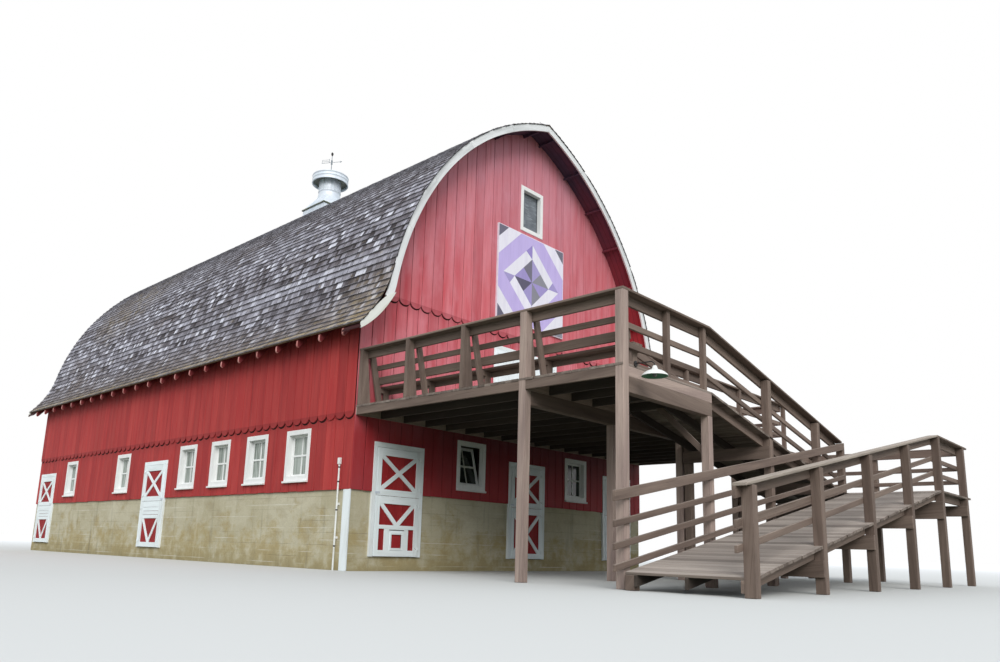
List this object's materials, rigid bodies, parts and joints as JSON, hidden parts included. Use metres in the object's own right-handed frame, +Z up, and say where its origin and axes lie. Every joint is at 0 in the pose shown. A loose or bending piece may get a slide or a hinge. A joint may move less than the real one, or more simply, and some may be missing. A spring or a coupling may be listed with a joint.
{
  "type": "barn",
  "caption": "Red timber barn with a shingled gothic-arch roof, white trim, Dutch doors, a raised brown deck and a switchback ramp.",
  "frame": {"origin": "middle of the barn's plan, at the level of the lowest ground that it meets", "axes": "+X to the right along the front gable, +Y back along the barn, +Z up"},
  "size_m": [11.6125, 25.8765, 13.692],
  "materials": {
    "concrete": "rough cast concrete with board lines and stains",
    "shingles": "weathered wood shingles",
    "white_wood": "white paint, satin, a little worn",
    "window_glass": "old greenish panes",
    "galvanised": "dull zinc",
    "white_metal": "white gloss",
    "dark_iron": "dark iron",
    "brown_wood": "faded brown stain",
    "door_wood": "red paint with white boards",
    "bare_wood": "unpainted timber",
    "banner_board": "painted board with a plain geometric pattern",
    "red_wood": "faded barn-red paint"
  },
  "bodies": {
    "barn": {"ground_floor": "concrete", "foundation_gables": "concrete", "foundation_sides": "concrete", "front_wall": "red_wood", "back_wall": "red_wood", "left_wall": "red_wood", "right_wall": "red_wood", "walls_over_doors": "red_wood", "front_gable": "red_wood", "back_gable": "red_wood", "left_wall_top": "red_wood", "right_wall_top": "red_wood", "loft_floor": "bare_wood", "roof_left": "shingles", "roof_right": "shingles", "rake_boards_front": "white_wood", "rake_boards_back": "white_wood", "soffit_front": "red_wood", "soffit_back": "red_wood", "rafter_tails": "bare_wood", "ridge_finials": "dark_iron", "door_jambs": "white_wood", "door_heads": "white_wood", "window_frames": "white_wood", "window_sills": "white_wood", "window_sashes": "white_wood", "window_glass": "window_glass", "top_windows": "white_wood", "top_screens": "dark_iron", "deck_doors": "door_wood", "fixed_doors": "door_wood", "hinge_pins": "dark_iron", "ventilator_base": "galvanised", "ventilator_hood": "galvanised", "conduit": "white_metal", "corner_board": "white_wood", "banner": "banner_board", "deck_boards": "brown_wood", "deck_joists": "brown_wood", "deck_rims": "brown_wood", "deck_beams": "brown_wood", "deck_posts": "brown_wood", "rail_caps": "brown_wood", "rail_boards": "brown_wood", "bench_supports": "brown_wood", "bench_boards": "brown_wood", "ramp_boards": "brown_wood", "ramp_joists": "brown_wood", "ramp_beams": "brown_wood", "ramp_posts": "brown_wood", "barn_lamp": "white_metal"},
    "front_left_upper_leaf": {"front_left_upper_leaf": "door_wood"},
    "front_left_lower_leaf": {"front_left_lower_leaf": "door_wood"},
    "front_middle_upper_leaf": {"front_middle_upper_leaf": "door_wood"},
    "front_middle_lower_leaf": {"front_middle_lower_leaf": "door_wood"},
    "side_near_upper_leaf": {"side_near_upper_leaf": "door_wood"},
    "side_near_lower_leaf": {"side_near_lower_leaf": "door_wood"},
    "side_far_upper_leaf": {"side_far_upper_leaf": "door_wood"},
    "side_far_lower_leaf": {"side_far_lower_leaf": "door_wood"},
    "weathervane": {"weathervane": "dark_iron"}
  },
  "joints": [
    {"name": "front_left_upper_leaf_hinge", "type": "hinge", "parent": "barn", "child": "front_left_upper_leaf", "pos_m": [-3.349, -8.663, 1.45], "axis": [0, 0, 1], "range_deg": [0, 105]},
    {"name": "front_left_lower_leaf_hinge", "type": "hinge", "parent": "barn", "child": "front_left_lower_leaf", "pos_m": [-3.349, -8.663, 1.45], "axis": [0, 0, 1], "range_deg": [0, 105]},
    {"name": "front_middle_upper_leaf_hinge", "type": "hinge", "parent": "barn", "child": "front_middle_upper_leaf", "pos_m": [0.671, -8.663, 1.45], "axis": [0, 0, 1], "range_deg": [0, 105]},
    {"name": "front_middle_lower_leaf_hinge", "type": "hinge", "parent": "barn", "child": "front_middle_lower_leaf", "pos_m": [0.671, -8.663, 1.45], "axis": [0, 0, 1], "range_deg": [0, 105]},
    {"name": "side_near_upper_leaf_hinge", "type": "hinge", "parent": "barn", "child": "side_near_upper_leaf", "pos_m": [-5.128, 0.336, 1.45], "axis": [0, 0, -1], "range_deg": [0, 105]},
    {"name": "side_near_lower_leaf_hinge", "type": "hinge", "parent": "barn", "child": "side_near_lower_leaf", "pos_m": [-5.128, 0.336, 1.45], "axis": [0, 0, -1], "range_deg": [0, 105]},
    {"name": "side_far_upper_leaf_hinge", "type": "hinge", "parent": "barn", "child": "side_far_upper_leaf", "pos_m": [-5.128, 8.276, 1.45], "axis": [0, 0, -1], "range_deg": [0, 105]},
    {"name": "side_far_lower_leaf_hinge", "type": "hinge", "parent": "barn", "child": "side_far_lower_leaf", "pos_m": [-5.128, 8.276, 1.45], "axis": [0, 0, -1], "range_deg": [0, 105]},
    {"name": "vane_turn", "type": "hinge", "parent": "barn", "child": "weathervane", "pos_m": [0, 0.28, 13.244], "axis": [0, 0, 1], "continuous": true}
  ]
}
